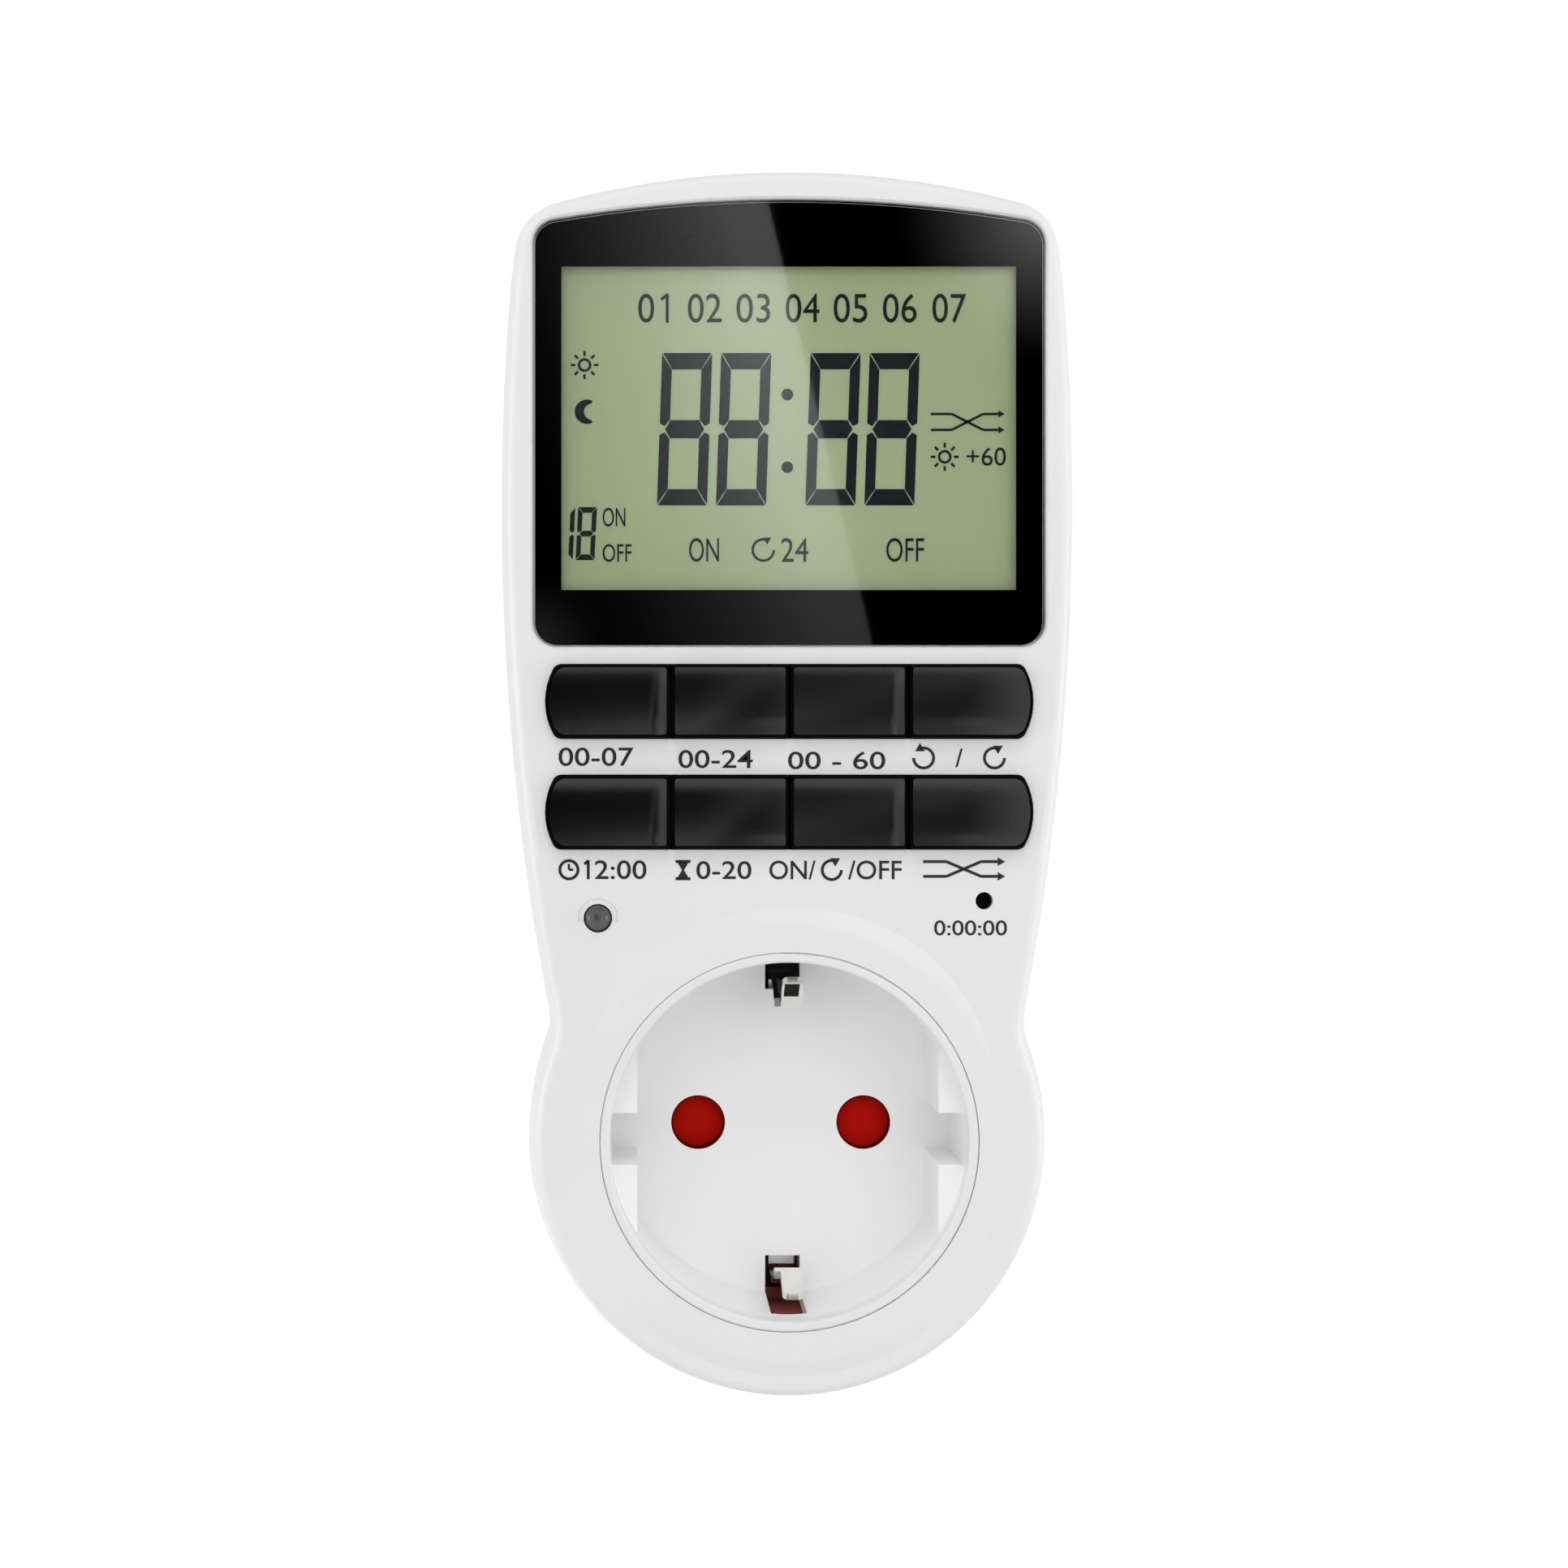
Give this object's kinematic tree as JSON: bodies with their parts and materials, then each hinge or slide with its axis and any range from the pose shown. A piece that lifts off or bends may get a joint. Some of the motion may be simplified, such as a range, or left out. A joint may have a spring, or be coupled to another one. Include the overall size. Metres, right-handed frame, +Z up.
{
  "type": "plug-in timer switch",
  "caption": "Plug-in timer switch with an arched display end, two rows of push keys and a recessed earthed socket in a round end, over an earthed two-pin plug.",
  "frame": {"origin": "on the common axis of plug and socket, midway between the plug pins in the plug's end face", "axes": "+Y is the way the plug pins point, towards the wall; the display and socket face -Y. +Z is up, from the socket end to the display end. +X is to the right seen from the front."},
  "size_m": [0.0636, 0.0744, 0.1354],
  "materials": {
    "housing_white": "fine satin moulding, near white",
    "key_black": "glossy black",
    "lens_clear": "clear hard acrylic",
    "mask_black": "black print on film",
    "lcd_green": "grey-green display with dark segments",
    "frame_grey": "matt",
    "rubber_grey": "soft silicone",
    "board_green": "solder-masked laminate",
    "board_tan": "bare paper laminate",
    "resin_black": "matt",
    "bright_metal": "bright nickel plate",
    "spring_steel": "zinc-plated steel",
    "contact_brass": "plain",
    "lamp_smoke": "smoky clear resin",
    "shutter_red": "deep red",
    "carrier_brown": "dark red-brown phenolic",
    "wire_brown": "PVC insulation",
    "wire_black": "PVC insulation",
    "wire_blue": "PVC insulation",
    "relay_blue": "moulded case",
    "capacitor_yellow": "moulded case",
    "varistor_blue": "dipped epoxy",
    "resistor_green": "cement coating",
    "cable_grey": "PVC ribbon"
  },
  "bodies": {
    "housing": {"front_shell": "housing_white", "rear_shell": "housing_white", "socket_cup": "housing_white", "display_lens": "lens_clear", "lens_mask": "mask_black", "lcd_glass": "lcd_green", "lcd_frame": "frame_grey", "zebra_strip": "rubber_grey", "control_board": "board_green", "control_chip": "resin_black", "clock_crystal": "bright_metal", "backup_battery": "bright_metal", "rubber_keypad": "rubber_grey", "reset_switch": "resin_black", "status_lamp": "lamp_smoke", "shutter_spring": "spring_steel", "contact_carrier": "carrier_brown", "socket_contact_left": "contact_brass", "socket_contact_right": "contact_brass", "socket_earth_strap": "bright_metal", "plug_pin_left": "bright_metal", "plug_pin_right": "bright_metal", "plug_earth_strap": "bright_metal", "earth_link": "contact_brass", "neutral_strip": "contact_brass", "live_wire": "wire_brown", "load_wire": "wire_black", "neutral_wire": "wire_blue", "power_board": "board_tan", "relay": "relay_blue", "film_capacitor": "capacitor_yellow", "filter_capacitors": "resin_black", "varistor": "varistor_blue", "fuse_resistor": "resistor_green", "rectifier_diodes": "resin_black", "ribbon_cable": "cable_grey", "case_screws": "spring_steel", "board_screws": "spring_steel"},
    "upper_key_1": {"upper_key_1": "key_black"},
    "upper_key_2": {"upper_key_2": "key_black"},
    "upper_key_3": {"upper_key_3": "key_black"},
    "upper_key_4": {"upper_key_4": "key_black"},
    "lower_key_1": {"lower_key_1": "key_black"},
    "lower_key_2": {"lower_key_2": "key_black"},
    "lower_key_3": {"lower_key_3": "key_black"},
    "lower_key_4": {"lower_key_4": "key_black"},
    "reset_button": {"reset_button": "key_black"},
    "safety_shutter": {"safety_shutter": "shutter_red"}
  },
  "joints": [
    {"name": "upper_key_1_press", "type": "slide", "parent": "housing", "child": "upper_key_1", "axis": [0, 1, 0], "range_m": [0, 0.001], "stiffness_N_per_m": 250, "springref_m": -0.0015, "deforming": ["rubber_keypad"]},
    {"name": "upper_key_2_press", "type": "slide", "parent": "housing", "child": "upper_key_2", "axis": [0, 1, 0], "range_m": [0, 0.001], "stiffness_N_per_m": 250, "springref_m": -0.0015, "deforming": ["rubber_keypad"]},
    {"name": "upper_key_3_press", "type": "slide", "parent": "housing", "child": "upper_key_3", "axis": [0, 1, 0], "range_m": [0, 0.001], "stiffness_N_per_m": 250, "springref_m": -0.0015, "deforming": ["rubber_keypad"]},
    {"name": "upper_key_4_press", "type": "slide", "parent": "housing", "child": "upper_key_4", "axis": [0, 1, 0], "range_m": [0, 0.001], "stiffness_N_per_m": 250, "springref_m": -0.0015, "deforming": ["rubber_keypad"]},
    {"name": "lower_key_1_press", "type": "slide", "parent": "housing", "child": "lower_key_1", "axis": [0, 1, 0], "range_m": [0, 0.001], "stiffness_N_per_m": 250, "springref_m": -0.0015, "deforming": ["rubber_keypad"]},
    {"name": "lower_key_2_press", "type": "slide", "parent": "housing", "child": "lower_key_2", "axis": [0, 1, 0], "range_m": [0, 0.001], "stiffness_N_per_m": 250, "springref_m": -0.0015, "deforming": ["rubber_keypad"]},
    {"name": "lower_key_3_press", "type": "slide", "parent": "housing", "child": "lower_key_3", "axis": [0, 1, 0], "range_m": [0, 0.001], "stiffness_N_per_m": 250, "springref_m": -0.0015, "deforming": ["rubber_keypad"]},
    {"name": "lower_key_4_press", "type": "slide", "parent": "housing", "child": "lower_key_4", "axis": [0, 1, 0], "range_m": [0, 0.001], "stiffness_N_per_m": 250, "springref_m": -0.0015, "deforming": ["rubber_keypad"]},
    {"name": "reset_press", "type": "slide", "parent": "housing", "child": "reset_button", "axis": [0, 1, 0], "range_m": [0, 0.0004], "stiffness_N_per_m": 300, "springref_m": -0.001},
    {"name": "shutter_turn", "type": "hinge", "parent": "housing", "child": "safety_shutter", "pos_m": [0, -0.0347, 0], "axis": [0, -1, 0], "range_deg": [0, 36], "stiffness_Nm_per_rad": 0.002, "springref_deg": -28.65, "deforming": ["shutter_spring"]}
  ]
}
